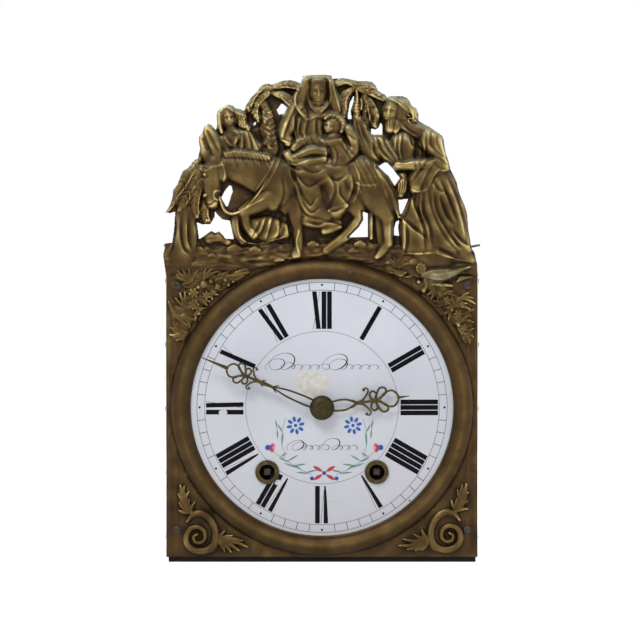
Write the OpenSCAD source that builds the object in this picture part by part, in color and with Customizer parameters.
// Comtoise clock: an iron cage with its trains, an enamel dial and a pressed brass front.
// Plus Z is up, the front faces minus Y, and plus X is to the right seen from the front.
// The origin lies under the middle of the base plate. All sizes are in millimetres.

/* [Cage] */
// Width over the base and top plates
case_w = 275; // [268:1:285]
// Depth over the base and top plates
case_d = 140; // [136:1:156]
// Height of the top plate above the bead
head_room = 1.1; // [0.5:0.1:12]
// Thickness of the base plate
base_t = 6; // [4:0.5:9]
// Thickness of the top plate
top_t = 4; // [3:0.5:7]
// Width of a square corner pillar
pillar_w = 10; // [8:0.5:11]
// Distance from the plate's side edge to the pillar
pillar_inset = 2.5; // [2:0.5:6]
// Radius of the round tenon at a pillar's end
tenon_r = 3; // [2:0.25:3.5]
// Width of a square nut
nut_w = 10; // [9:0.5:14]
// Thickness of a square nut
nut_t = 4; // [3:0.5:6]
// Thickness of the back sheet
back_t = 1.2; // [0.8:0.1:2]
// Radius of a fixing screw's shank
screw_r = 1.5; // [1:0.1:2]
// Radius of a fixing screw's head
screw_head_r = 3.2; // [2.5:0.1:4]
// Length of a fixing screw in the pillar
screw_len = 8; // [5:0.5:9]

/* [Doors] */
// Thickness of a side door's sheet
door_t = 1.2; // [0.8:0.1:1.6]
// Gap between a side door and the plates
door_gap = 0.4; // [0.3:0.1:0.8]
// Outer radius of the rolled hinge edge
hinge_r = 2.2; // [2:0.1:2.4]
// Radius of the hinge pin
hinge_pin_r = 1.2; // [0.8:0.1:1.4]
// Distance from the back edge to the hinge pin
hinge_inset = 5; // [4:0.5:8]
// Thickness of a door hook
hook_t = 2; // [1.5:0.25:3]
// How far a closed door hook hangs below the top plate
hook_drop = 4; // [3:0.5:8]
// Angle at which the open hooks stand up from their closed place
hook_open = 100; // [60:5:120]

/* [Pressed front] */
// How far the brass front reaches past the plates at each side
front_overlap = 2; // [1:0.5:8]
// Thickness of the brass sheet
sheet_t = 1; // [0.6:0.1:1.4]
// Height of the sheet's lower edge
front_z = 8; // [6:0.5:12]
// Width of the half-round bead round the opening
bead_w = 15; // [10:0.5:15]
// How far the bead reaches below the sheet's lower edge
bead_drop = 2.1; // [0:0.1:4]
// Height of the bead in front of the sheet
bead_h = 7; // [4:0.5:10]
// Height of the bead's ring over its width
bead_oval = 0.978; // [0.96:0.002:1]
// Depth of the highest relief
relief_d = 13; // [8:0.5:16]
// Spacing of the relief's surface grid
relief_step = 5.1; // [5.1:0.1:8]
// Half width of the strip that rolls up in a lower corner
scroll_r = 3.6; // [2.6:0.2:4]
// Distance of the upper front screws below the top plate
screw_drop = 24.5; // [20:0.5:40]
// Height of the lower front screws
screw_low_z = 29; // [20:1:40]

/* [Dial] */
// Thickness of the enamelled dial
dial_t = 2.2; // [1.6:0.1:3]
// Gap between the dial's edge and the pillars
dial_gap = 4; // [2:0.5:8]
// Width of the dial's rim behind the opening's edge
dial_rim = 3.5; // [2:0.5:5]
// Rise of the dial's dome
dial_dome = 6; // [4:0.5:8]
// Radius of the dial's centre hole
centre_hole_r = 6.6; // [6.4:0.1:8]
// Distance of a winding hole from the middle
winding_x = 48.9; // [47:0.1:49.5]
// Distance of the winding holes below the dial's centre
winding_drop = 57.8; // [56:0.1:60]
// Outer radius of an eyelet's flange
eyelet_r = 10.75; // [10:0.25:13]
// Radius of an eyelet's hole
eyelet_hole_r = 6.95; // [6:0.1:8]
// Thickness of an eyelet's flange and wall
eyelet_t = 1.4; // [0.8:0.1:2]

/* [Hands] */
// Thickness of a hand
hand_t = 1.2; // [0.8:0.1:1.4]
// Length of the hour hand
hour_len = 79; // [70:1:90]
// How far the minute hand's tip reaches past the opening's edge
minute_over = 0.5; // [-12:0.5:0.5]
// Angle of the hour hand, clockwise from twelve
hour_angle = 82.4; // [0:0.1:360]
// Angle of the minute hand, clockwise from twelve
minute_angle = 292.7; // [0:0.1:360]
// Width of a hand's strand
strand_w = 1.6; // [1.2:0.1:2]
// Half width of a hand's long loop
loop_w = 6.5; // [5:0.5:8]
// Radius of the collet in front of the hands
collet_r = 11; // [8:0.5:13]

/* [Trains] */
// Front face of the front bars
bar_front_y = -40; // [-41:0.5:-40]
// Front face of the back bars
bar_back_y = 40; // [40:0.5:42]
// Thickness of a bar
bar_t = 4; // [3:0.5:4]
// Width of a side bar
side_bar_w = 34; // [34:1:38]
// Width of a middle bar
middle_bar_w = 20; // [16:1:22]
// Radius of an arbor
arbor_r = 2.5; // [2:0.1:3]
// Radius of an arbor's pivot
pivot_r = 1.5; // [1:0.1:1.9]
// Radius of a winding arbor
drum_arbor_r = 4; // [3.9:0.1:4.6]
// Width of the winding square
winding_square = 5.5; // [4.5:0.25:6]
// Radius of a rope drum
drum_r = 22; // [18:0.5:22]
// Radius of a drum's flange
flange_r = 26; // [25:0.5:28]
// Thickness of a brass wheel
wheel_t = 2.5; // [1.5:0.25:2.5]
// Running clearance round pins and pivots
fit = 0.05; // [0.02:0.01:0.08]
// Tooth size of the great wheels
great_m = 0.85; // [0.84:0.01:0.86]
// Tooth size of the centre wheel
centre_m = 0.9; // [0.89:0.01:0.91]
// Tooth size of the third wheel
third_m = 0.8; // [0.79:0.01:0.83]
// Radius of the escape wheel
escape_r = 20; // [17:0.5:20]
// Height of the anchor's axis above the escape wheel's
anchor_rise = 28.3; // [28.3:0.1:31]
// Tooth size of the pin wheel
pin_m = 0.65; // [0.64:0.01:0.67]
// Radius of the circle of lifting pins
pin_circle_r = 22; // [20:0.5:22]
// Tooth size of the stop wheel
stop_m = 0.7; // [0.69:0.01:0.71]
// Radius of the fly's vane
fly_r = 18; // [14:0.5:18]
// Distance of the minute wheel's stud from the dial's axis
motion_dist = 24; // [23.8:0.1:24.4]

/* [Bell and hammer] */
// Distance of the bell's axis from the middle
bell_x = -19; // [-22:0.5:-16]
// Depth position of the bell's axis
bell_y = -8; // [-10:0.5:0]
// Radius of the bell's rim
bell_r = 54.5; // [50:0.5:56]
// Height of the bell
bell_h = 62; // [54:1:66]
// Height of the bell's rim above the top plate
bell_rise = 72; // [66:1:76]
// Thickness of the bell's wall
bell_wall = 3.5; // [2.5:0.25:5]
// Radius of the bell's post
post_r = 4; // [3.5:0.25:6]
// Radius of the post's threaded end
post_thread_r = 3; // [2:0.25:3.2]
// Distance of the hammer's arbor from the middle
hammer_x = -50; // [-50.5:0.5:-49]
// Height of the hammer's arbor above the dial's centre
hammer_rise = 56.6; // [55.6:0.5:61.6]
// Radius of the hammer's head
hammer_head_r = 6; // [4:0.5:8]
// Length of the hammer's head
hammer_head_len = 16; // [10:1:20]
// Gap between the hammer's head and the bell at rest
hammer_gap = 1; // [0.6:0.2:2]
// Fall of the rack over twelve hours
rack_fall = 24; // [20:1:24]

/* [Hidden] */
$fn = 48;

// Finishes
iron = "#3a3632";
steel = "#8d8f92";
brass = "#b08d4a";
bronze = "#8f8f8a";
enamel = "#eceff0";

// Teeth of the wheels and leaves of the pinions
great_n = 96;
pinion_n = 8;
centre_n = 64;
third_n = 60;
pin_n = 84;
gather_n = 6;
stop_n = 56;
fly_n = 7;
motion_n = 50;

// Arbor of the gathering pinion, thinner than the roots of its leaves
gather_arbor_r = 1.15;
pivot_lap = 0.5;

// Small clearances
gap = 0.3;
end_shake = 0.3;

// Cage
half_w = case_w / 2;
half_d = case_d / 2;
opening_r = half_w - pillar_inset - pillar_w - dial_gap - dial_rim;
ring_r = opening_r + bead_w;
dial_z = front_z + ring_r - bead_drop;
case_h = dial_z + ring_r + head_room;
side_bar_x = 38;
cage_h = case_h - base_t - top_t;
pillar_x = half_w - pillar_inset - pillar_w / 2;
pillar_y = half_d - pillar_w / 2;
tenon_foot = 1;
tenon_top = case_h + nut_t + 1;
bar_tenon_r = bar_t * 0.45;
bar_front_mid = bar_front_y + bar_t / 2;
bar_back_mid = bar_back_y + bar_t / 2;
bar_xs = [-side_bar_x, 0, side_bar_x];
corners = [for (sx = [-1, 1], sy = [-1, 1]) [sx * pillar_x, sy * pillar_y]];
bar_feet = [for (x = bar_xs, y = [bar_front_mid, bar_back_mid]) [x, y]];
back_screw_rise = 34;
back_screw_zs = [base_t + back_screw_rise, case_h - top_t - back_screw_rise];
line_slot_w = 12;
pendulum_slot_w = 70;
pendulum_slot_d = 12;
pendulum_y = bar_back_y + bar_t + 10;
drum_y = [-20, 18];

// Doors
hinge_x = half_w + door_gap + door_t / 2;
hinge_y = half_d - hinge_inset;
ear_reach = hinge_r + 1.3;
door_front_y = -half_d + 2;
hook_axis_x = half_w - 4.5;
hook_axis_z = case_h + 3;
hook_y = -half_d + pillar_w + 12;
hook_w = 7;
hook_pin_r = 1;
hook_ring_r = 2.2;
staple_t = 1;
staple_w = 5;
lug_t = 2;
hook_x = hinge_x + door_t / 2 + gap;

// Front and dial
sheet_back_y = -half_d;
sheet_front_y = sheet_back_y - sheet_t;
front_w = case_w + 2 * front_overlap;
relief_front_y = sheet_front_y - relief_d - 1;
front_screw_at = [for (s = [-1, 1], z = [screw_low_z, case_h - screw_drop]) [s * pillar_x, z]];
dial_r = opening_r + dial_rim;
dome_r = opening_r * bead_oval - 0.5;
dome_sphere_r = (dome_r * dome_r + dial_dome * dial_dome) / (2 * dial_dome);
winding_z = dial_z - winding_drop;
clip_w = 12;
clip_t = 1.1;
clip_reach = 7;

function dome_rise(r) = sqrt(dome_sphere_r * dome_sphere_r - r * r) - dome_sphere_r + dial_dome;
function dome_tilt(r) = asin(r / dome_sphere_r);

// Going train, each axis as X and Z
function beside(p, d, a) = p + d * [cos(a), sin(a)];
function angle_to(p, q) = atan2(q[1] - p[1], q[0] - p[0]);
function pitch(n, m) = n * m / 2;
dial_at = [0, dial_z];
going_at = [winding_x, winding_z];
great_lean = 115;
centre_at = beside(going_at, pitch(great_n + pinion_n, great_m), great_lean);
centre_lean = 95.7;
third_at = beside(centre_at, pitch(centre_n + pinion_n, centre_m), centre_lean);
escape_reach = pitch(third_n + pinion_n, third_m);
escape_at = [0, third_at[1] + sqrt(escape_reach * escape_reach - third_at[0] * third_at[0])];
third_lean = angle_to(third_at, escape_at);
anchor_at = escape_at + [0, anchor_rise];
motion_m = norm(centre_at - dial_at) / motion_n;
motion_lean = angle_to(centre_at, dial_at);
minute_stud_at = dial_at - [0, motion_dist];
cannon_pinion_n = 16;
minute_n = 48;
minute_pinion_n = 12;
hour_n = 48;
minute_m = 2 * motion_dist / (cannon_pinion_n + minute_n);
hour_m = 2 * motion_dist / (minute_pinion_n + hour_n);

// Strike train
strike_at = [-winding_x, winding_z];
pin_at = beside(strike_at, pitch(great_n + pinion_n, great_m), 180 - great_lean);
gather_lean = 85.7;
gather_at = beside(pin_at, pitch(pin_n + gather_n, pin_m), gather_lean);
fly_lean = 105.8;
fly_at = beside(gather_at, pitch(stop_n + fly_n, stop_m), fly_lean);
hammer_z = dial_z + hammer_rise;
hammer_at = [hammer_x, hammer_z];

// Depth positions of the wheels, each as front face
minute_len = opening_r + minute_over;
great_y = 24;
front_wheel_y = bar_front_y + bar_t + 4;
back_wheel_y = bar_back_y - 10;
escape_wheel_y = bar_back_y - 4.5;
escape_wheel_t = 2;
motion_y = bar_front_y - 8;
motion_t = 2;
minute_y = motion_y - motion_t - 1;
hour_y = minute_y - motion_t - 1;
snail_y = hour_y - motion_t - 3;
post_front_y = hour_y - 8;
dial_top_y = sheet_back_y - dial_dome;
hour_hand_y = dial_top_y - 3.5 - hand_t;
minute_hand_y = hour_hand_y - 2.2 - hand_t;
collet_t = 1.6;
collet_y = minute_hand_y - collet_t;
post_pin_r = 2;
cannon_r = 3.5;
hour_pipe_r = 6;
ratchet_y = drum_y[1] + gap;
ratchet_t = 3;
ratchet_r = 20;
click_dist = 30;
click_pivot_r = 1.8;
pin_count = 14;
lift_pin_r = 1.2;
lift_pin_len = 7.5;
lift_pin_y = front_wheel_y + wheel_t + lift_pin_len;

// Bell and hammer
post_collar_r = post_r + 2;
bell_rim_z = case_h + bell_rise;
bell_top_z = bell_rim_z + bell_h;
hammer_head_z = bell_rim_z + 3;
hammer_head_x = bell_x - bell_r - hammer_gap - hammer_head_len;
hammer_top = [hammer_head_x + hammer_head_len / 2, hammer_head_z];
hammer_lean = atan2(hammer_top[0] - hammer_x, hammer_top[1] - hammer_z);
hammer_lift = 12;
stem_r = 2;
slot_left = hammer_x + (case_h - hammer_z) * tan(hammer_lean - hammer_lift) - 2 * stem_r;
slot_right = hammer_x + (case_h - top_t - hammer_z) * tan(hammer_lean) + 2 * stem_r;
slot_half = stem_r + 2;

// Rack
rack_x = -48;
rack_w = 6;
rack_t = 3;
rack_y = bar_front_y - 1.5 - rack_t;
rack_tooth = 3.4;
rack_bottom = dial_z - 20.4;
rack_top = dial_z + 76.6;
rack_teeth_z = dial_z + 3.6;
guide_zs = [rack_bottom + 8, rack_top - 9];
foot_z = dial_z + 9.6 + rack_fall;
foot_y = snail_y - gap - 2;

// Turns a flat shape drawn in X and Z into a plate whose front face lies at y
module plate_y(y, t) {
    translate([0, y + t, 0])
        rotate([90, 0, 0])
            linear_extrude(t)
                children();
}

// Round rod along Y from y0 to y1
module rod(at, r, y0, y1) {
    translate([at[0], y0, at[1]])
        rotate([-90, 0, 0])
            cylinder(r = r, h = y1 - y0);
}

// Block between two corners
module block(a, b) {
    translate(a)
        cube(b - a);
}

// Outline of a toothed wheel, with widths of tip and root as shares of one tooth's pitch
function gear_points(n, m, add, ded, tip, root) = [
    for (i = [0:n - 1], p = [[-root, -ded], [-tip, add], [tip, add], [root, -ded]])
        let (a = (i + p[0] / 2) * 360 / n, r = n * m / 2 + p[1] * m)
            r * [cos(a), sin(a)]];
function wheel_points(n, m) = gear_points(n, m, 0.9, 1.05, 0.22, 0.6);
function pinion_points(n, m) = gear_points(n, m, 0.7, 1.15, 0.2, 0.46);

// Flat wheel with four crossings, its tooth at the angle phase
module wheel_shape(n, m, phase, bore_r, hub_r, arm_w) {
    rim_r = n * m / 2 - 1.05 * m - 3.5;
    difference() {
        rotate(phase)
            polygon(wheel_points(n, m));
        difference() {
            circle(r = rim_r);
            circle(r = hub_r);
            square([2 * rim_r + 2, arm_w], center = true);
            square([arm_w, 2 * rim_r + 2], center = true);
        }
        circle(r = bore_r);
    }
}

module wheel(at, y, t, n, m, phase, bore_r, hub_r, arm_w) {
    translate([at[0], 0, at[1]])
        plate_y(y, t)
            wheel_shape(n, m, phase, bore_r, hub_r, arm_w);
}

module pinion(at, y, t, n, m, phase) {
    translate([at[0], 0, at[1]])
        plate_y(y, t)
            rotate(phase)
                polygon(pinion_points(n, m));
}

// A gap of the driven pinion meets the tooth that points at it
function meets(lean, n) = lean + 180 + 180 / n;

// Arbor between the bars, with a pivot in each bar
module arbor(at, r) {
    front_end = bar_front_y + bar_t + end_shake;
    back_end = bar_back_y - end_shake;
    rod(at, r, front_end, back_end);
    rod(at, pivot_r, bar_front_y, front_end + pivot_lap);
    rod(at, pivot_r, back_end - pivot_lap, bar_back_y + bar_t);
}

// Relief of the sheet: rounded bodies, each a share of the depth and a chain of X, height and radius.
// Heights on the fronton are above its foot
fronton_lap = 12;
fronton_foot = case_h - fronton_lap;
fronton_w = 279;
fronton_scale = front_w / fronton_w;
fronton_bodies = [
    // Ground with stones, palms
    [0.27, [[-139, 10, 13], [-70, 12, 11], [0, 18, 9], [70, 14, 11], [138, 6, 10]]],
    [0.34, [[-100, 30, 6], [-92, 31, 5], [-84, 27, 4]]],
    [0.47, [[-111, 100, 5], [-121, 86, 7], [-131, 67, 6], [-139.5, 53.5, 2.5]]],
    [0.52, [[-108, 92, 5], [-116, 76, 7], [-124, 63, 6], [-127, 55, 3]]],
    [0.51, [[-107, 82, 4], [-112, 70, 6], [-114, 60, 5], [-112, 49, 3]]],
    [0.46, [[-104, 62, 5], [-105, 52, 5], [-102, 43, 3]]],
    [0.47, [[-45, 164, 4], [-55, 163, 5], [-63, 155, 5], [-67, 144, 3]]],
    [0.49, [[-47, 160, 3], [-57, 152, 5], [-60, 142, 4], [-57, 134, 2]]],
    [0.51, [[-44, 164, 3], [-34, 167, 5], [-23, 166, 5], [-19, 160, 3]]],
    [0.49, [[-43, 159, 3], [-36, 157, 5], [-29, 152, 5], [-26, 144, 2]]],
    [0.46, [[12, 167, 4], [20, 170, 4], [33, 167, 5], [46, 166, 4]]],
    [0.51, [[31, 163, 3], [42, 161, 5], [51, 158, 5], [57, 154, 3]]],
    [0.46, [[29, 164, 3], [21, 157, 5], [19, 147, 4], [20, 138, 2.5]]],
    [0.42, [[38, 158, 4], [44, 146, 6], [47, 136, 5], [48, 127, 2.5]]],
    [0.46, [[37, 156, 3], [39, 142, 3.6], [39, 128, 3], [38, 120, 2]]],
    [0.46, [[-121, 52, 10], [-121, 34, 10], [-125, 17, 13]]],
    [0.41, [[-54, 153, 5], [-51, 140, 7], [-48, 126, 8], [-46, 110, 8]]],
    // Donkey
    [0.55, [[-30, 62, 12], [0, 62, 14], [26, 66, 14]]],
    [0.71, [[-90, 96, 9], [-72, 91, 15], [-52, 86, 19], [-40, 82, 20]]],
    [0.79, [[-42, 88, 15], [-38, 72, 15], [-44, 62, 9]]],
    [0.78, [[34, 86, 19], [44, 76, 19], [50, 62, 13], [58, 49, 8]]],
    [0.8, [[-96, 98, 8.4], [-98.6, 87, 10.8], [-99, 73, 8.6], [-98, 62, 7]]],
    [0.76, [[-90, 94, 8], [-89, 86, 7]]],
    [0.75, [[-93.5, 97, 5.6], [-95, 110, 7.4], [-99.5, 122, 7], [-103, 131, 3]]],
    [0.61, [[-102, 100, 5], [-105, 112, 5.6], [-107.6, 122, 3]]],
    [0.72, [[-86, 104, 4.6], [-76, 105, 5.4], [-62, 103.6, 5], [-48, 101, 4]]],
    [0.78, [[-46, 66, 10], [-58, 60, 9], [-70, 53, 6.5]]],
    [0.69, [[-69, 52, 6], [-67, 41, 5], [-61, 33, 5]]],
    [0.47, [[-77, 52, 4.5], [-76, 36, 4.5], [-71, 27, 4]]],
    [0.56, [[-24, 54, 8], [-22, 38, 5.5], [-21, 24, 5], [-23, 15, 6]]],
    [0.69, [[58, 49, 7], [58.5, 36, 5.4], [59, 25, 5.4]]],
    [0.64, [[57, 23, 5.5], [53, 17, 5], [49, 13, 3.4]]],
    [0.54, [[31, 57, 9], [33, 48, 6], [27, 38, 6], [16, 28, 5.4], [4, 19, 5]]],
    [0.54, [[51, 91, 4], [58, 78, 6], [65, 62, 6], [69, 49, 3]]],
    [0.39, [[49, 54, 3], [51, 40, 4], [53, 24, 4]]],
    // Walking figure at the left
    [0.47, [[-63, 40, 9], [-48, 38, 12], [-34, 36, 8]]],
    [0.56, [[-82, 129, 5], [-80, 122, 7]]],
    [0.62, [[-82, 118, 9], [-70, 116, 12], [-60, 110, 7]]],
    [0.75, [[-84.5, 141, 9.2], [-83.5, 137, 9]]],
    [0.61, [[-78, 144, 6], [-72.5, 139, 6.4], [-70.5, 131, 4.6], [-66, 128, 3]]],
    [0.58, [[-92, 140, 3], [-91.5, 131, 3], [-89.5, 124, 2.4]]],
    [0.56, [[-90, 119, 3], [-87, 112, 4], [-83, 107, 3]]],
    // Seated mother and child
    [0.71, [[-13, 171.4, 4.6], [-4, 171.6, 5], [5, 171.4, 4.6]]],
    [0.76, [[-14.5, 170, 4.4], [-16, 159, 6], [-16, 149, 7.4], [-12, 139, 4]]],
    [0.73, [[7, 170, 3.6], [9, 159, 5.4], [11, 149, 6.4], [8, 141, 3.6]]],
    [0.69, [[-12, 132, 15], [-8, 118, 16]]],
    [0.72, [[-26, 148, 6], [-29, 135, 8], [-33, 123, 7], [-30, 116, 5]]],
    [0.82, [[-12, 91, 15], [6, 89, 15], [18, 88, 10]]],
    [0.8, [[-13, 78, 14], [-9, 60, 14], [0, 48, 11]]],
    [0.76, [[12, 76, 13], [15, 62, 11], [12, 52, 8]]],
    [0.78, [[6, 54, 3], [14, 56.5, 4], [22, 59, 3.4]]],
    [0.59, [[2, 36, 4], [9, 38, 4.6], [16, 40, 3]]],
    [0.62, [[-14, 45, 6], [0, 43, 6], [14, 43, 5]]],
    [0.82, [[-20, 111, 9.5], [-12, 111, 10.5], [0, 112, 9]]],
    [0.85, [[-31, 105, 4.6], [-26, 99, 5.4], [-12, 97.5, 5], [2, 100, 4.6]]],
    [0.64, [[-12, 139, 3.4], [0, 138.6, 3.4], [11, 142, 3.4]]],
    [0.86, [[11, 117, 10], [15, 108, 11], [16, 99, 10]]],
    [0.87, [[0, 117, 4], [8, 114, 4.4], [16, 117, 4]]],
    [0.84, [[23, 127, 5], [28, 117, 6], [27, 106, 6], [18, 96, 5]]],
    [0.88, [[9, 131.5, 9.4], [10, 129, 9.2]]],
    [0.85, [[-4, 92, 4.4], [6, 89, 4.6], [14, 92, 4]]],
    // Old man at the right
    [0.61, [[32, 138, 4.4], [34, 128, 7.4], [39, 117, 10.5], [46, 106, 9]]],
    [0.64, [[49, 116, 9], [57, 108, 9], [66, 98, 8]]],
    [0.69, [[73, 131, 6], [86, 126, 8], [97, 122, 8]]],
    [0.73, [[100, 76, 20], [104, 51, 25], [103, 28, 27]]],
    [0.64, [[115, 58, 13], [120, 38, 12], [126, 21, 9]]],
    [0.58, [[78, 58, 9], [80, 40, 11], [80, 24, 10]]],
    [0.46, [[112, 20, 8], [126, 15, 7], [134, 10, 4]]],
    [0.71, [[88, 82, 9], [85, 75, 8], [94, 76, 8]]],
    [0.85, [[97, 118, 12], [104, 108, 10], [108, 97, 8]]],
    [0.89, [[108, 94, 8], [96, 93, 7.6], [81, 94, 7], [67, 94.5, 4.6]]],
    [0.81, [[70, 147, 10.4], [67, 142, 10]]],
    [0.69, [[79, 146, 6], [83, 138, 5], [80, 132, 5]]],
    [0.77, [[62, 135, 6.4], [60.5, 127, 4.6]]],
    [0.72, [[68, 132, 6], [66, 126, 4]]],
    [0.64, [[72, 85, 5], [72, 76, 6], [70, 68, 4]]],
    [0.71, [[31.6, 139, 3.4], [31, 145, 4.6], [31, 150, 4.2]]]];
fronton_outline = [[-139.5, 0], [-142, 15], [-140, 25], [-134, 25], [-131, 51], [-140, 53], [-133, 66],
    [-133, 72], [-126, 85], [-116, 100], [-110, 103], [-110, 118], [-108, 123], [-104, 124], [-102, 132],
    [-98, 128], [-92, 119], [-93, 138], [-90, 146], [-84, 149], [-76, 147], [-69, 144], [-65, 153],
    [-55, 165], [-49, 168], [-30, 171], [-18, 169], [-17, 175.5], [8.5, 176], [10, 171], [18, 173],
    [45, 170], [52, 160], [60, 157], [76, 157], [84, 150], [86, 133], [95, 129], [105, 123], [110, 110],
    [115, 92], [122, 75], [128, 58], [131, 38], [134, 21], [139.5, 0]];
fronton_openings = [
    [[-96, 54], [-89, 46], [-82, 45], [-79, 29], [-92, 36], [-99, 36], [-110, 29], [-112, 44], [-100, 42]],
    [[-83, 77], [-78, 75], [-85, 58], [-90, 66]],
    [[-36, 150], [-31, 147], [-34, 141], [-40, 143]],
    [[29, 158], [24, 148], [23, 137], [26, 137]],
    [[44, 128], [44, 122], [54, 122], [53, 133]],
    [[50, 94], [58, 97], [69, 83], [65, 77]],
    [[36, 53], [41, 52], [41, 31], [24, 31], [33, 39]],
    [[69, 64], [77, 65], [70, 51]],
    [[69, 46], [65, 38], [64, 32], [69, 32]]];

// Foliage and cloth under the fronton, with heights above its foot
upper_bodies = [
    [0.31, [[-128, -4, 5], [-112, -7, 10], [-96, -10, 10], [-82, -7, 7], [-66, -1, 5]]],
    [0.31, [[-110, -20, 10], [-116, -31, 11], [-125, -46, 10], [-128, -58, 7]]],
    [0.28, [[-134, -29, 5], [-128, -39, 6]]],
    [0.29, [[86, -13, 6], [98, -13, 6], [109, -20, 9], [119, -31, 11], [127, -46, 9], [131, -59, 6]]],
    [0.29, [[62, 4, 6], [76, 5, 7], [88, 2, 8]]],
    [0.45, [[90, -3.5, 3.4], [99, -2.4, 6.2], [109, -2.8, 6.4], [119, 0, 4.2], [132, 4, 1.2]]]];
// Leaves beside a rolled strip: away from the dial, up from the strip's middle, and radius
leaf_bodies = [
    [0.33, [[5, 21, 4], [10.6, 29, 7.5], [13, 37, 6], [15.4, 46.4, 2]]],
    [0.3, [[-18.6, -3.5, 4], [-28, -5.5, 9], [-36, -7, 7], [-44.6, -8.6, 2]]]];
// Path of a rolled strip with its share of the half width
strip_path = [[9.6, 14, 0.4], [5, 19.4, 0.8], [-2, 21.6, 1], [-9.4, 18, 1], [-14.8, 10, 1], [-16.2, 1, 1],
    [-13.4, -7.4, 1], [-6.4, -12, 1], [2, -12, 1], [8.8, -7.4, 1], [10.4, 0.6, 0.9], [6.6, 7.4, 0.85],
    [-0.4, 9, 0.8], [-5.8, 5, 0.75], [-6.2, -1.4, 0.7], [-2.4, -5, 0.65], [2.4, -4, 0.6]];
// Middles of the left and right strip above the foot of the front, with the side they turn to
strip_at = [[-111.2, 14.4, -1], [113.4, 15.6, 1]];
// Depth by which a patch of relief is bedded in the flat sheet
bed = 0.3;
// Height over which a hollow relief comes up from its foot
foot_fade = 8;

// Share of the depth that one link of a chain has at a point
function link_rise(a, b, x, z) =
    let (dx = b[0] - a[0], dz = b[1] - a[1])
    let (t = max(0, min(1, ((x - a[0]) * dx + (z - a[1]) * dz) / (dx * dx + dz * dz))))
    let (d = norm([x - a[0] - t * dx, z - a[1] - t * dz]), r = a[2] + t * (b[2] - a[2]))
        d >= r ? 0 : sqrt(1 - d * d / (r * r));
// Relief of all bodies at a point
function relief(bodies, x, z) =
    relief_d * max([for (b = bodies, k = [1:len(b[1]) - 1]) b[0] * link_rise(b[1][k - 1], b[1][k], x, z)]);

// Moves children from a drawing of the front to its height, at the front's width
module on_front(z) {
    translate([0, 0, z])
        scale([fronton_scale, 1, fronton_scale])
            children();
}

// Surface over a rectangle of relief, with a back that lies flat or follows the front
module relief_sheet(bodies, from, to, front_y, back_y, hollow) {
    nx = ceil((to[0] - from[0]) / relief_step);
    nz = ceil((to[1] - from[1]) / relief_step);
    row = nx + 1;
    layer = row * (nz + 1);
    cells = [for (j = [0:nz - 1], i = [0:nx - 1]) j * row + i];
    at = [for (j = [0:nz], i = [0:nx]) [from[0] + i * relief_step, from[1] + j * relief_step]];
    heights = [for (p = at) relief(bodies, p[0], p[1]) * (hollow ? min(1, p[1] / foot_fade) : 1)];
    front_points = [for (k = [0:layer - 1]) [at[k][0], front_y - heights[k], at[k][1]]];
    back_points = [for (k = [0:layer - 1]) [at[k][0], back_y - (hollow ? heights[k] : 0), at[k][1]]];
    front = [for (k = cells) each [[k, k + row + 1, k + 1], [k, k + row, k + row + 1]]];
    back = [for (f = front) [f[0] + layer, f[2] + layer, f[1] + layer]];
    edge = concat([for (i = [0:nx - 1]) i], [for (j = [0:nz - 1]) j * row + nx],
        [for (i = [nx:-1:1]) nz * row + i], [for (j = [nz:-1:1]) j * row]);
    sides = [for (k = [0:len(edge) - 1])
        let (a = edge[k], b = edge[(k + 1) % len(edge)])
            each [[a, b, b + layer], [a, b + layer, a + layer]]];
    polyhedron(points = concat(front_points, back_points), faces = concat(front, back, sides),
        convexity = 10);
}

// Relief of the fronton, hollow behind and cut to its outline
module fronton_sheet() {
    on_front(fronton_foot)
        intersection() {
            relief_sheet(fronton_bodies, [-143, 0], [143, 180], sheet_front_y, sheet_back_y, true);
            plate_y(relief_front_y, relief_d + sheet_t + 1)
                polygon(fronton_outline);
        }
}

// Patches of relief that stand on the flat sheet
module corner_patches() {
    front_y = sheet_front_y + bed;
    back_y = front_y + bed;
    on_front(fronton_foot)
        for (x = [-139, 57])
            relief_sheet(upper_bodies, [x, -66], [x + 82, 10], front_y, back_y, false);
    on_front(front_z)
        for (s = strip_at) {
            chains = [for (b = leaf_bodies)
                [b[0], [for (p = b[1]) [s[0] + s[2] * p[0], s[1] + p[1], p[2]]]]];
            low = s[0] - (s[2] > 0 ? 51 : 25);
            relief_sheet(chains, [low, 1], [low + 76, 67], front_y, back_y, false);
        }
}

// Strips that roll up in the lower corners
module corner_strips() {
    on_front(front_z)
        for (s = strip_at, k = [1:len(strip_path) - 1])
            hull()
                for (p = [strip_path[k - 1], strip_path[k]])
                    translate([s[0] + s[2] * p[0], sheet_front_y, s[1] + p[1]])
                        scale([1, 1.3, 1])
                            sphere(r = scroll_r * p[2], $fn = 6);
}

// Half-round bead, hollow behind
module bead() {
    half = bead_w / 2;
    mid = opening_r + half;
    outer = [for (a = [0:30:180]) [mid + half * cos(a), bead_h * sin(a)]];
    inner = [for (a = [180:-45:0]) [mid + (half - sheet_t) * cos(a), (bead_h - sheet_t) * sin(a)]];
    translate([0, sheet_back_y, dial_z])
        scale([1, 1, bead_oval])
            rotate([90, 0, 0])
                rotate_extrude($fn = 64)
                    polygon(concat(outer, inner));
}

// Hole in the flat sheet where the bead stands
module ring_hole() {
    translate([0, dial_z])
        scale([1, bead_oval])
            circle(r = ring_r - sheet_t / 2, $fn = 64);
}

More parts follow.
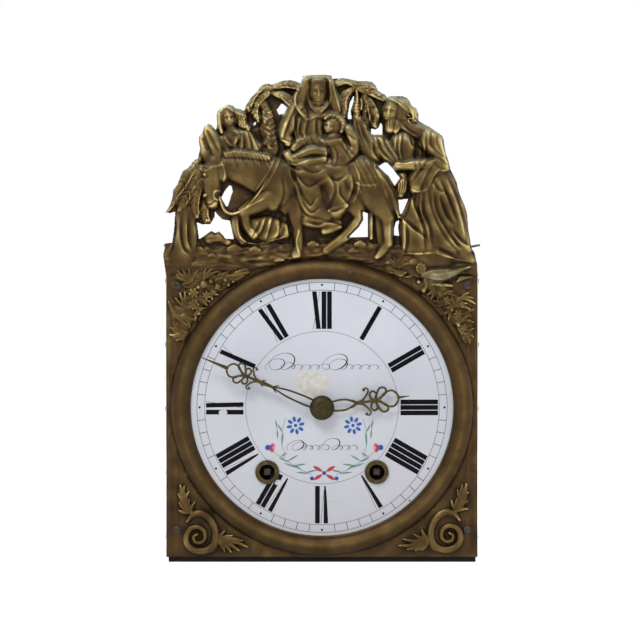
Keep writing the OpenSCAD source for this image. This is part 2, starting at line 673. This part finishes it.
module pressed_front() {
    color(brass)
        difference() {
            union() {
                plate_y(sheet_front_y, sheet_t)
                    difference() {
                        translate([-front_w / 2, front_z])
                            square([front_w, fronton_foot - front_z]);
                        ring_hole();
                    }
                difference() {
                    union() {
                        fronton_sheet();
                        corner_patches();
                        corner_strips();
                    }
                    plate_y(relief_front_y, relief_d + sheet_t + 2)
                        ring_hole();
                    block([-front_w, sheet_back_y, 0], [front_w, 0, fronton_foot]);
                }
                bead();
            }
            on_front(fronton_foot)
                plate_y(relief_front_y, relief_d + sheet_t + 2)
                    for (o = fronton_openings)
                        polygon(o);
            for (p = front_screw_at) {
                rod(p, screw_r + fit, relief_front_y, sheet_back_y + 1, $fn = 16);
                rod(p, screw_head_r + gap, relief_front_y, sheet_front_y, $fn = 16);
            }
        }
}

// Moves children from the dial's axis out to a point on the dome, square to it
module on_dome(x, drop) {
    r = norm([x, drop]);
    translate([0, sheet_back_y, dial_z])
        rotate([90, 0, 0])
            rotate([0, 0, atan2(-drop, x)])
                translate([r, 0, dome_rise(r)])
                    rotate([0, dome_tilt(r), 0])
                        children();
}

module enamel_dial() {
    steps = 12;
    front = [for (i = [0:steps]) let (r = dome_r * i / steps) [r, dome_rise(r)]];
    back = [for (i = [steps:-1:0]) let (r = dome_r * i / steps) [r, dome_rise(r) - dial_t]];
    color(enamel)
        difference() {
            translate([0, sheet_back_y, dial_z])
                rotate([90, 0, 0])
                    rotate_extrude($fn = 96)
                        polygon(concat(front, [[dial_r, 0], [dial_r, -dial_t]], back));
            rod(dial_at, centre_hole_r, dial_top_y - 1, 0);
            for (s = [-1, 1])
                on_dome(s * winding_x, winding_drop)
                    cylinder(r = eyelet_hole_r + eyelet_t + fit, h = 20, center = true);
        }
}

module winding_eyelets() {
    seat = 0.1;
    color(brass)
        for (s = [-1, 1])
            on_dome(s * winding_x, winding_drop)
                difference() {
                    union() {
                        translate([0, 0, seat])
                            cylinder(r = eyelet_r, h = eyelet_t);
                        translate([0, 0, -dial_t - 0.5])
                            cylinder(r = eyelet_hole_r + eyelet_t, h = dial_t + 0.5 + seat);
                    }
                    cylinder(r = eyelet_hole_r, h = 20, center = true);
                }
}

// Soldered feet on the sheet's back, each with a finger over the dial's rim
module dial_clips() {
    foot_r = dial_r + 1.5;
    color(brass)
        for (a = [45:90:315])
            translate([0, sheet_back_y, dial_z])
                rotate([0, a, 0]) {
                    block([-clip_w / 2, 0, ring_r + 1],
                        [clip_w / 2, dial_t + clip_t, ring_r + 1 + clip_reach]);
                    block([-clip_w / 2, dial_t, foot_r - clip_reach],
                        [clip_w / 2, dial_t + clip_t, ring_r + 2]);
                }
}

// Screw along Y whose head seats at y, facing the way side points
module screw(at, y, side) {
    translate([at[0], y, at[1]])
        rotate([-90 * side, 0, 0]) {
            translate([0, 0, -screw_len - sheet_t])
                cylinder(r = screw_r, h = screw_len + sheet_t);
            difference() {
                cylinder(r = screw_head_r, h = 1.8);
                translate([-screw_head_r, -0.4, 1])
                    cube([2 * screw_head_r, 0.8, 2]);
            }
        }
}

module front_screws() {
    color(steel)
        for (p = front_screw_at)
            screw(p, sheet_front_y, -1);
}

module back_screws() {
    color(steel)
        for (sx = [-1, 1], z = back_screw_zs)
            screw([sx * pillar_x, z], half_d + back_t, 1);
}

// Plate outline with an ear at each back corner for the door pin
module cage_plate(t) {
    difference() {
        union() {
            translate([-half_w, -half_d, 0])
                cube([case_w, case_d, t]);
            translate([-hinge_x - ear_reach, hinge_y - ear_reach, 0])
                cube([2 * (hinge_x + ear_reach), 2 * ear_reach, t]);
        }
        for (p = corners)
            translate([p[0], p[1], -1])
                cylinder(r = tenon_r + fit, h = t + 2);
        for (p = bar_feet)
            translate([p[0], p[1], -1])
                cylinder(r = bar_tenon_r + fit, h = t + 2);
        for (s = [-1, 1])
            translate([s * hinge_x, hinge_y, -1])
                cylinder(r = hinge_pin_r + fit, h = t + 2);
    }
}

module bottom_plate() {
    color(iron)
        difference() {
            cage_plate(base_t);
            for (s = [-1, 1])
                translate([s * winding_x - line_slot_w / 2, drum_y[0], -1])
                    cube([line_slot_w, drum_y[1] - drum_y[0], base_t + 2]);
            translate([-pendulum_slot_w / 2, pendulum_y - pendulum_slot_d / 2, -1])
                cube([pendulum_slot_w, pendulum_slot_d, base_t + 2]);
        }
}

module top_plate() {
    color(iron)
        difference() {
            translate([0, 0, case_h - top_t])
                cage_plate(top_t);
            translate([slot_left, bell_y - slot_half, 0])
                cube([slot_right - slot_left, 2 * slot_half, case_h + 1]);
            translate([bell_x, bell_y, 0])
                cylinder(r = post_thread_r + fit, h = case_h + 1);
        }
}

module corner_pillars() {
    color(iron)
        for (p = corners)
            difference() {
                union() {
                    translate([p[0] - pillar_w / 2, p[1] - pillar_w / 2, base_t])
                        cube([pillar_w, pillar_w, cage_h]);
                    translate([p[0], p[1], tenon_foot])
                        cylinder(r = tenon_r, h = tenon_top - tenon_foot);
                }
                if (p[1] < 0)
                    for (q = front_screw_at)
                        rod(q, screw_r + fit, sheet_back_y - 1, sheet_back_y + screw_len + 1);
                else
                    for (z = back_screw_zs)
                        rod([p[0], z], screw_r + fit, half_d - screw_len - 1, half_d + 1);
            }
}

module nut_on(p, r) {
    translate([p[0], p[1], case_h])
        difference() {
            translate([-nut_w / 2, -nut_w / 2, 0])
                cube([nut_w, nut_w, nut_t]);
            translate([0, 0, -1])
                cylinder(r = r + fit, h = nut_t + 2);
        }
}

module cage_nuts() {
    color(steel) {
        for (p = corners)
            nut_on(p, tenon_r);
        for (p = bar_feet)
            nut_on(p, bar_tenon_r);
    }
}

module back_panel() {
    color(iron)
        difference() {
            block([-half_w + 1, half_d, base_t / 2], [half_w - 1, half_d + back_t, case_h - top_t / 2]);
            for (sx = [-1, 1], z = back_screw_zs)
                rod([sx * pillar_x, z], screw_r + fit, half_d - 1, half_d + back_t + 1);
        }
}

// Sheet with a rolled back edge that turns on the hinge pin
module door(side) {
    z0 = base_t + gap;
    h = cage_h - 2 * gap;
    difference() {
        union() {
            translate([side * hinge_x - door_t / 2, door_front_y, z0])
                cube([door_t, hinge_y - door_front_y, h]);
            translate([side * hinge_x, hinge_y, z0])
                cylinder(r = hinge_r, h = h);
        }
        translate([side * hinge_x, hinge_y, 0])
            cylinder(r = hinge_pin_r + fit, h = case_h);
    }
}

module left_door() {
    color(iron)
        door(-1);
}

module right_door() {
    color(iron)
        door(1);
}

module door_pins() {
    color(steel)
        for (s = [-1, 1])
            translate([s * hinge_x, hinge_y, tenon_foot])
                cylinder(r = hinge_pin_r, h = case_h + 1 - tenon_foot);
}

module hook_staples() {
    color(iron)
        for (s = [-1, 1]) {
            block([s * hook_axis_x - staple_w, hook_y - hook_w / 2 - lug_t - gap, case_h],
                [s * hook_axis_x + staple_w, hook_y + hook_w / 2 + lug_t + gap, case_h + staple_t / 2]);
            for (y = [hook_y - hook_w / 2 - gap - lug_t, hook_y + hook_w / 2 + gap])
                translate([s * hook_axis_x - staple_w / 2, y, case_h])
                    cube([staple_w, lug_t, hook_axis_z + hook_pin_r + 1 - case_h]);
            rod([s * hook_axis_x, hook_axis_z], hook_pin_r,
                hook_y - hook_w / 2 - lug_t, hook_y + hook_w / 2 + lug_t);
        }
}

// Hook that drops over the outside of a door, drawn open
module door_hook(side) {
    reach = hook_x + hook_t - hook_axis_x;
    hook_tip_z = case_h - top_t - hook_drop - hook_axis_z;
    translate([side * hook_axis_x, 0, hook_axis_z])
        mirror([side < 0 ? 1 : 0, 0, 0])
            rotate([0, -hook_open, 0])
                difference() {
                    union() {
                        rod([0, 0], hook_ring_r, hook_y - hook_w / 2, hook_y + hook_w / 2);
                        block([0, hook_y - hook_w / 2, -hook_t / 2],
                            [reach, hook_y + hook_w / 2, hook_t / 2]);
                        block([reach - hook_t, hook_y - hook_w / 2, hook_tip_z],
                            [reach, hook_y + hook_w / 2, hook_t / 2]);
                    }
                    rod([0, 0], hook_pin_r + fit, hook_y - hook_w, hook_y + hook_w);
                }
}

module left_door_hook() {
    color(iron)
        door_hook(-1);
}

module right_door_hook() {
    color(iron)
        door_hook(1);
}

// Upright bar with a round tenon at each end
module train_bar(x, w, y) {
    block([x - w / 2, y, base_t], [x + w / 2, y + bar_t, case_h - top_t]);
    translate([x, y + bar_t / 2, tenon_foot])
        cylinder(r = bar_tenon_r, h = tenon_top - tenon_foot);
}

module bars(y) {
    for (x = bar_xs)
        train_bar(x, x == 0 ? middle_bar_w : side_bar_w, y);
}

module pivot_holes(y, r, places) {
    for (p = places)
        rod(p, r + fit, y - 1, y + bar_t + 1);
}

pivots_at = [third_at, escape_at, pin_at, gather_at, fly_at, hammer_at];

module front_bars() {
    color(iron)
        difference() {
            bars(bar_front_y);
            pivot_holes(bar_front_y, pivot_r, concat(pivots_at, [anchor_at]));
            pivot_holes(bar_front_y, post_pin_r, [centre_at, dial_at, minute_stud_at]);
            pivot_holes(bar_front_y, drum_arbor_r, [going_at, strike_at]);
        }
}

module back_bars() {
    color(iron)
        difference() {
            bars(bar_back_y);
            pivot_holes(bar_back_y, pivot_r, concat(pivots_at, [centre_at]));
            pivot_holes(bar_back_y, post_pin_r, [anchor_at]);
            pivot_holes(bar_back_y, drum_arbor_r - 1, [going_at, strike_at]);
        }
}

// Great wheel, loose on its drum's arbor, with the stud of its click
module great_wheel(at, lean) {
    hub_r = 14;
    difference() {
        union() {
            wheel(at, great_y, 3, great_n, great_m, lean, drum_arbor_r + fit, hub_r, 10);
            rod(at, 9, ratchet_y + ratchet_t + gap, great_y);
            rod(at + [0, click_dist], click_pivot_r, ratchet_y, great_y);
        }
        rod(at, drum_arbor_r + fit, ratchet_y, great_y + 5);
    }
}

// Rope drum on its winding arbor, with flanges, ratchet and a collar behind the great wheel
module drum(at) {
    teeth = 12;
    flange_t = 2;
    square_y = bar_front_y - 10;
    tip_y = dial_top_y + dial_dome + 1;
    ratchet = [for (i = [0:teeth - 1], p = [[0, 0], [0.12, 3.5], [0.85, 3.5]])
        (ratchet_r - p[1]) * [cos((i + p[0]) * 360 / teeth), sin((i + p[0]) * 360 / teeth)]];
    rod(at, drum_r, drum_y[0], drum_y[1]);
    rod(at, flange_r, drum_y[0], drum_y[0] + flange_t);
    rod(at, flange_r, drum_y[1] - flange_t, drum_y[1]);
    rod(at, ratchet_r - 4, drum_y[1], ratchet_y + 1);
    translate([at[0], 0, at[1]])
        plate_y(ratchet_y, ratchet_t)
            polygon(ratchet);
    rod(at, drum_arbor_r, square_y, bar_back_y - end_shake);
    rod(at, drum_arbor_r - 1, bar_back_y - 1, bar_back_y + bar_t);
    rod(at, 7, great_y + 3 + gap, great_y + 5);
    half = winding_square / 2;
    block([at[0] - half, tip_y, at[1] - half], [at[0] + half, square_y + 1, at[1] + half]);
}

// Click lever above the ratchet, drawn round its stud
module click(at) {
    tip = ratchet_r + gap + 0.2;
    lean = 32;
    reach = tip * [-sin(lean), cos(lean)] - [0, click_dist];
    translate([at[0], 0, at[1] + click_dist])
        plate_y(ratchet_y + 0.2, ratchet_t - 0.6)
            difference() {
                union() {
                    circle(r = 3.6);
                    polygon([[-1.5, 3], reach + [-0.6, 1.2], reach, [2, -3]]);
                }
                circle(r = click_pivot_r + fit);
            }
}

module going_great_wheel() {
    color(brass)
        great_wheel(going_at, great_lean);
}

module going_drum() {
    color(steel)
        drum(going_at);
}

module going_click() {
    color(steel)
        click(going_at);
}

module centre_arbor() {
    color(steel) {
        rod(centre_at, arbor_r, bar_front_y + bar_t + end_shake, bar_back_y - end_shake);
        rod(centre_at, pivot_r, bar_back_y - 1, bar_back_y + bar_t);
        rod(centre_at, post_pin_r, motion_y - 0.4, bar_front_y + bar_t + 1);
        pinion(centre_at, great_y - 1, 5, pinion_n, great_m, meets(great_lean, pinion_n));
    }
}

module centre_wheel() {
    color(brass)
        wheel(centre_at, front_wheel_y, wheel_t, centre_n, centre_m, centre_lean, arbor_r + fit, 9, 5);
}

module third_arbor() {
    color(steel) {
        arbor(third_at, arbor_r);
        pinion(third_at, front_wheel_y - 1, wheel_t + 2, pinion_n, centre_m, meets(centre_lean, pinion_n));
    }
}

module third_wheel() {
    color(brass)
        wheel(third_at, back_wheel_y, wheel_t, third_n, third_m, third_lean, arbor_r + fit, 8, 4);
}

module escape_arbor() {
    color(steel) {
        arbor(escape_at, arbor_r - 0.8);
        pinion(escape_at, back_wheel_y - 1, wheel_t + 2, pinion_n, third_m,
            meets(angle_to(third_at, escape_at), pinion_n));
    }
}

module escape_wheel() {
    teeth = 30;
    outline = [for (i = [0:teeth - 1], p = [[0, 0], [0.35, 3], [0.9, 3]])
        (escape_r - p[1]) * [cos((i + p[0]) * 360 / teeth), sin((i + p[0]) * 360 / teeth)]];
    color(brass)
        translate([escape_at[0], 0, escape_at[1]])
            plate_y(escape_wheel_y, escape_wheel_t)
                difference() {
                    polygon(outline);
                    difference() {
                        circle(r = escape_r - 6);
                        circle(r = 6);
                        square([2 * escape_r, 3.5], center = true);
                        square([3.5, 2 * escape_r], center = true);
                    }
                    circle(r = arbor_r - 0.8 + fit);
                }
}

module anchor_arbor() {
    color(steel) {
        rod(anchor_at, arbor_r, bar_front_y + bar_t + end_shake, bar_back_y - end_shake);
        rod(anchor_at, pivot_r, bar_front_y, bar_front_y + bar_t + 1);
        rod(anchor_at, post_pin_r, bar_back_y - 1, bar_back_y + bar_t + 4);
    }
}

// Recoil anchor with two bent arms over the escape wheel
module anchor() {
    color(steel)
        translate([anchor_at[0], 0, anchor_at[1]])
            plate_y(escape_wheel_y, escape_wheel_t)
                difference() {
                    polygon([[-5, 4.5], [5, 4.5], [21, -8], [20, -15], [16.5, -14], [16, -10], [4, -4],
                        [-4, -4], [-16, -10], [-16.5, -14], [-20, -15], [-21, -8]]);
                    circle(r = arbor_r + fit);
                }
}

// Crutch behind the back bar, with the pin that takes the pendulum rod
module crutch() {
    y = bar_back_y + bar_t + 1;
    drop = 72;
    color(steel)
        difference() {
            union() {
                rod(anchor_at, 5, y, y + 2);
                block([-2, y, anchor_at[1] - drop], [2, y + 2, anchor_at[1]]);
                rod(anchor_at - [0, drop - 2], 1.5, y, pendulum_y + 6);
            }
            rod(anchor_at, post_pin_r + fit, y - 1, y + 3);
        }
}

// Cock on the middle back bar that holds the pendulum's suspension
module suspension_cock() {
    y = bar_back_y + bar_t;
    z = anchor_at[1] + 14;
    reach = pendulum_y + 5;
    color(brass)
        difference() {
            union() {
                block([-9, y, z], [9, y + 3, z + 24]);
                block([-6, y, z], [6, reach, z + 8]);
            }
            block([-0.5, pendulum_y - 4, z - 1], [0.5, reach + 1, z + 9]);
        }
}

module motion_drive_wheel() {
    color(brass)
        wheel(centre_at, motion_y, motion_t, motion_n, motion_m, motion_lean, post_pin_r + fit, 6, 4);
}

// Fixed post on the dial's axis and stud of the minute wheel
module motion_studs() {
    color(steel) {
        rod(dial_at, post_pin_r, post_front_y, bar_front_y + bar_t);
        rod(minute_stud_at, post_pin_r, hour_y - 1.5, bar_front_y + bar_t);
        for (p = [dial_at, minute_stud_at])
            rod(p, post_pin_r + 2, bar_front_y - 3, bar_front_y);
    }
}

// Wheel and pinion on the minute hand's pipe
module cannon_wheel() {
    color(brass)
        difference() {
            union() {
                wheel(dial_at, motion_y, motion_t, motion_n, motion_m,
                    meets(motion_lean, motion_n), post_pin_r + fit, 8, 4);
                pinion(dial_at, minute_y - 0.4, motion_t + 1.4, cannon_pinion_n, minute_m,
                    meets(90, cannon_pinion_n));
                rod(dial_at, cannon_r, collet_y - 3, motion_y + motion_t);
            }
            rod(dial_at, post_pin_r + fit, post_front_y - 0.5, 0);
        }
}

module minute_wheel() {
    color(brass)
        difference() {
            union() {
                wheel(minute_stud_at, minute_y, motion_t, minute_n, minute_m, 90, post_pin_r + fit, 7, 4);
                pinion(minute_stud_at, hour_y - 0.4, motion_t + 1.4, minute_pinion_n, hour_m,
                    meets(-90, minute_pinion_n));
            }
            rod(minute_stud_at, post_pin_r + fit, hour_y - 5, 0);
        }
}

module hour_wheel() {
    color(brass)
        difference() {
            union() {
                wheel(dial_at, hour_y, motion_t, hour_n, hour_m, -90, cannon_r + fit, 10, 5);
                rod(dial_at, hour_pipe_r, hour_hand_y, hour_y + motion_t);
            }
            rod(dial_at, cannon_r + fit, hour_hand_y - 1, 0);
        }
}

// Stepped cam with one step for each hour
module hour_snail() {
    low = 9.5;
    step = 2;
    outline = [for (i = [0:11], e = [0, 1])
        (low + step * i) * [cos((i + e) * 30), sin((i + e) * 30)]];
    color(brass)
        translate([0, 0, dial_z])
            plate_y(snail_y, motion_t)
                difference() {
                    polygon(outline);
                    circle(r = hour_pipe_r + fit);
                }
}

// Outline of a band of even width along a line of points
function side_of(p, i) =
    let (a = p[max(0, i - 1)], b = p[min(len(p) - 1, i + 1)], d = b - a)
        [-d[1], d[0]] / norm(d);
function band(p, w) = concat(
    [for (i = [0:len(p) - 1]) p[i] + side_of(p, i) * w / 2],
    [for (i = [len(p) - 1:-1:0]) p[i] - side_of(p, i) * w / 2]);
// Side of the long loop: leaves the boss, swells and closes again
function loop_side(s, from, to, w) = [for (t = [0:0.125:1])
    [s * (1.2 + (w - 1.2) * pow(sin(180 * pow(t, 0.8)), 1.2)), from + (to - from) * t]];

// Pierced hand: boss, long loop with barbs, a knot of rings and a pointer
module hand(y, angle, len, knot, knot_h, boss_r, bore_r) {
    foot = boss_r - 1;
    barb_z = foot + (knot - foot) * 0.4;
    rings = [[-0.2, 0.16, 0.17], [0.2, 0.16, 0.17], [0, 0.4, 0.17], [-0.16, 0.62, 0.15],
        [0.16, 0.62, 0.15], [0, 0.84, 0.15]];
    pointer = [[-1.7, knot - 2], [1.7, knot - 2], [0.5, len], [-0.5, len]];
    translate([0, 0, dial_z])
        rotate([0, angle, 0])
            difference() {
                union() {
                    rod([0, 0], boss_r, y, y + hand_t);
                    plate_y(y, hand_t)
                        polygon(pointer);
                    for (s = [-1, 1]) {
                        plate_y(y, hand_t)
                            polygon(band(loop_side(s, foot, knot, loop_w), strand_w));
                        plate_y(y, hand_t)
                            polygon([[s * (loop_w - 1), barb_z], [s * (loop_w + 4.5), barb_z + 7],
                                [s * (loop_w - 1), barb_z + 4]]);
                    }
                    for (k = rings)
                        rod([k[0] * knot_h, knot + k[1] * knot_h], k[2] * knot_h, y, y + hand_t);
                }
                for (k = rings)
                    rod([k[0] * knot_h, knot + k[1] * knot_h], k[2] * knot_h - strand_w,
                        y - 1, y + hand_t + 1);
                rod([0, 0], bore_r, y - 1, y + hand_t + 1);
            }
}

module hour_hand() {
    color(brass)
        hand(hour_hand_y, hour_angle, hour_len, 0.43 * hour_len, 0.4 * hour_len, 9, hour_pipe_r + fit);
}

module minute_hand() {
    color(brass)
        hand(minute_hand_y, minute_angle, minute_len, 0.53 * minute_len, 0.22 * minute_len, 8,
            cannon_r + fit);
}

module hand_collet() {
    color(brass)
        difference() {
            rod(dial_at, collet_r, collet_y, minute_hand_y);
            rod(dial_at, cannon_r + fit, collet_y - 1, minute_hand_y + 1);
        }
}

// Square nut on the pipe that holds the hands
module hand_nut() {
    half = cannon_r + 0.8;
    color(steel)
        difference() {
            block([-half, collet_y - 3.4, dial_z - half], [half, collet_y, dial_z + half]);
            rod(dial_at, cannon_r + fit, collet_y - 3 - fit, collet_y + 1);
        }
}

module strike_great_wheel() {
    color(brass)
        great_wheel(strike_at, 180 - great_lean);
}

module strike_drum() {
    color(steel)
        drum(strike_at);
}

module strike_click() {
    color(steel)
        click(strike_at);
}

module pin_wheel_arbor() {
    color(steel) {
        arbor(pin_at, arbor_r);
        pinion(pin_at, great_y - 1, 5, pinion_n, great_m, meets(180 - great_lean, pinion_n));
    }
}

// Wheel whose pins lift the hammer's tail
module pin_wheel() {
    color(brass) {
        wheel(pin_at, front_wheel_y, wheel_t, pin_n, pin_m, gather_lean, arbor_r + fit, 9, 5);
        for (i = [0:pin_count - 1])
            rod(beside(pin_at, pin_circle_r, i * 360 / pin_count), lift_pin_r,
                front_wheel_y + 0.5, lift_pin_y);
    }
}

// Arbor that gathers the rack tooth by tooth
module gathering_arbor() {
    finger = 7.5;
    y = bar_front_y - 3.5;
    color(steel) {
        arbor(gather_at, gather_arbor_r);
        rod(gather_at, pivot_r, y, bar_front_y);
        pinion(gather_at, front_wheel_y - 1, wheel_t + 2, gather_n, pin_m, meets(gather_lean, gather_n));
        translate([gather_at[0], 0, gather_at[1]])
            plate_y(y, 2.5)
                rotate(90)
                    polygon([[-2.5, -2.5], [2.5, -2.5], [finger, -0.8], [finger, 0.8],
                        [2.5, 2.5], [-2.5, 2.5]]);
    }
}

module stop_wheel() {
    color(brass)
        wheel(gather_at, back_wheel_y, wheel_t, stop_n, stop_m, fly_lean, gather_arbor_r + fit, 7, 4);
}

module fly_arbor() {
    color(steel) {
        arbor(fly_at, arbor_r - 0.9);
        pinion(fly_at, back_wheel_y - 1, wheel_t + 2, fly_n, stop_m, meets(fly_lean, fly_n));
    }
}

// Air brake: a flat vane on a sleeve
module fly_vane() {
    y0 = -5;
    y1 = 20;
    color(brass)
        difference() {
            union() {
                rod(fly_at, 4, y0, y1);
                block([fly_at[0] - fly_r, y0, fly_at[1] - 0.5], [fly_at[0] + fly_r, y1, fly_at[1] + 0.5]);
            }
            rod(fly_at, arbor_r - 0.9 + fit, y0 - 1, y1 + 1);
        }
}

// Hammer arbor with its stem and the tail that the pins lift
module hammer() {
    stem_len = norm(hammer_top - hammer_at) - hammer_head_r + 1;
    tail_len = 55;
    tail_t = 2;
    tail_y = lift_pin_y + gap;
    color(steel) {
        arbor(hammer_at, arbor_r);
        rod(hammer_at, 5, bell_y - 4, bell_y + 4);
        translate([hammer_x, bell_y, hammer_z])
            rotate([0, hammer_lean, 0])
                cylinder(r = stem_r, h = stem_len);
        translate([hammer_x, 0, hammer_z])
            plate_y(tail_y, tail_t)
                rotate(4)
                    translate([-3, -tail_len])
                        square([6, tail_len + 4]);
    }
}

module hammer_head() {
    socket = stem_r + fit;
    color(steel)
        difference() {
            translate([hammer_head_x, bell_y, hammer_head_z])
                rotate([0, 90, 0])
                    cylinder(r = hammer_head_r, h = hammer_head_len);
            translate([hammer_x, bell_y, hammer_z])
                rotate([0, hammer_lean, 0])
                    cylinder(r = socket, h = norm(hammer_top - hammer_at) - hammer_head_r + 1 + fit);
        }
}

// Upright rack that falls on the snail, with its foot in front of the snail
module rack() {
    arm_x = -36;
    arm_w = 4;
    arm_z = foot_z + 4;
    edge_x = rack_x + rack_w;
    tooth_pitch = rack_fall / 12;
    color(steel) {
        block([rack_x, rack_y, rack_bottom], [edge_x, rack_y + rack_t, rack_top]);
        plate_y(rack_y, rack_t)
            for (i = [0:12])
                translate([edge_x, rack_teeth_z + i * tooth_pitch])
                    polygon([[-1, 0], [rack_tooth, 0.2], [0, tooth_pitch - 0.2], [-1, tooth_pitch - 0.2]]);
        block([rack_x, rack_y, arm_z], [arm_x, rack_y + rack_t, arm_z + 6]);
        block([arm_x - arm_w, foot_y, arm_z], [arm_x, rack_y + rack_t, arm_z + 6]);
        block([arm_x - arm_w, foot_y, arm_z], [3, foot_y + 2, arm_z + 6]);
        block([-3, foot_y, foot_z], [3, foot_y + 2, arm_z + 6]);
    }
}

// Staples on the strike bar that keep the rack upright
module rack_guides() {
    side = 3;
    front_t = 2;
    right = rack_x + rack_w + rack_tooth + gap;
    front = rack_y - gap - front_t;
    color(iron)
        for (z = guide_zs) {
            block([rack_x - gap - side, front, z], [rack_x - gap, bar_front_y, z + 6]);
            block([right, front, z], [right + side, bar_front_y, z + 6]);
            block([rack_x - gap - side, front, z], [right + side, front + front_t, z + 6]);
        }
}

// Cast bell, open below, with a hole in its crown
module bell() {
    steps = 9;
    function wall(r, h) = [for (i = [0:steps]) let (a = i * 90 / steps)
        [r * pow(cos(a), 0.55), h * pow(sin(a), 0.8)]];
    outer = wall(bell_r, bell_h);
    inner = wall(bell_r - bell_wall, bell_h - bell_wall);
    color(bronze)
        translate([bell_x, bell_y, bell_rim_z])
            difference() {
                rotate_extrude($fn = 72)
                    polygon(concat(outer, [for (i = [steps:-1:0]) inner[i]]));
                cylinder(r = post_thread_r + fit, h = bell_h + 1);
                cylinder(r = post_collar_r + gap, h = bell_h - bell_wall);
            }
}

module bell_post() {
    shoulder_z = bell_top_z - bell_wall;
    flange_r = 9;
    color(iron)
        translate([bell_x, bell_y, 0]) {
            translate([0, 0, case_h - top_t])
                cylinder(r = post_thread_r, h = bell_top_z + nut_t + 2 - case_h + top_t);
            translate([0, 0, case_h])
                cylinder(r = flange_r, h = 3);
            translate([0, 0, case_h])
                cylinder(r = post_r, h = shoulder_z - case_h);
            translate([0, 0, shoulder_z - 3])
                cylinder(r = post_collar_r, h = 3);
        }
}

module bell_nut() {
    color(steel)
        translate([bell_x, bell_y, bell_top_z])
            difference() {
                translate([-nut_w / 2, -nut_w / 2, 0])
                    cube([nut_w, nut_w, nut_t]);
                translate([0, 0, -1])
                    cylinder(r = post_thread_r + fit, h = nut_t + 2);
            }
}

pressed_front();
enamel_dial();
winding_eyelets();
dial_clips();
front_screws();
bottom_plate();
top_plate();
corner_pillars();
cage_nuts();
back_panel();
back_screws();
left_door();
right_door();
door_pins();
hook_staples();
left_door_hook();
right_door_hook();
front_bars();
back_bars();
going_great_wheel();
going_drum();
going_click();
centre_arbor();
centre_wheel();
third_arbor();
third_wheel();
escape_arbor();
escape_wheel();
anchor_arbor();
anchor();
crutch();
suspension_cock();
motion_drive_wheel();
motion_studs();
cannon_wheel();
minute_wheel();
hour_wheel();
hour_snail();
hour_hand();
minute_hand();
hand_collet();
hand_nut();
strike_great_wheel();
strike_drum();
strike_click();
pin_wheel_arbor();
pin_wheel();
gathering_arbor();
stop_wheel();
fly_arbor();
fly_vane();
hammer();
hammer_head();
rack();
rack_guides();
bell();
bell_post();
bell_nut();
